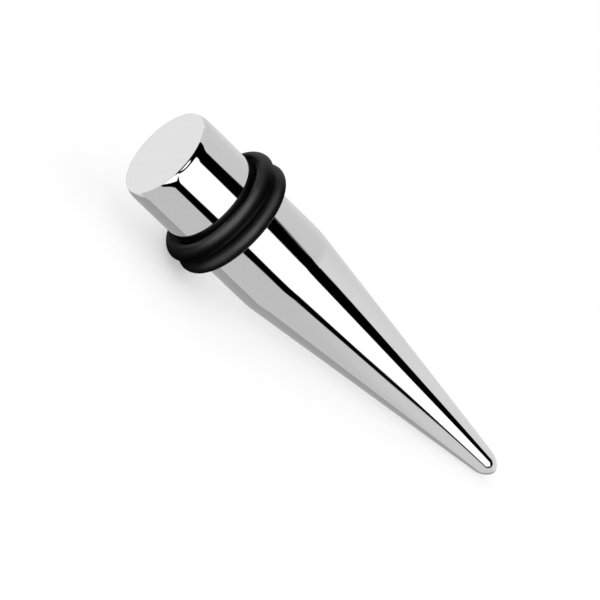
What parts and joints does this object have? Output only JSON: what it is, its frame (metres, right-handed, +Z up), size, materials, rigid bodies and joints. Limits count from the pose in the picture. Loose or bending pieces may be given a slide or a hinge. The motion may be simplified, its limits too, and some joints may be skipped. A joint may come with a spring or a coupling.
{
  "type": "ear stretching taper",
  "caption": "Straight polished steel shank that narrows in a long cone to a round tip, with rubber O-rings side by side near its flat head end, for widening an ear piercing.",
  "frame": {"origin": "middle of the bounding box on the surface that the taper lies on", "axes": "+Z up from that surface, +X along the taper towards the tip, seen from above; the taper's own axis dips towards the tip by 7.75 degrees, because it rests on its tip and on the O-ring nearer the tip"},
  "size_m": [0.0504, 0.013, 0.0132],
  "materials": {
    "polished_steel": "mirror-polished stainless steel, bare, with no plating",
    "black_rubber": "satin black moulded rubber"
  },
  "bodies": {
    "root": {"steel_taper": "polished_steel", "head_side_o_ring": "black_rubber", "tip_side_o_ring": "black_rubber"}
  },
  "joints": []
}
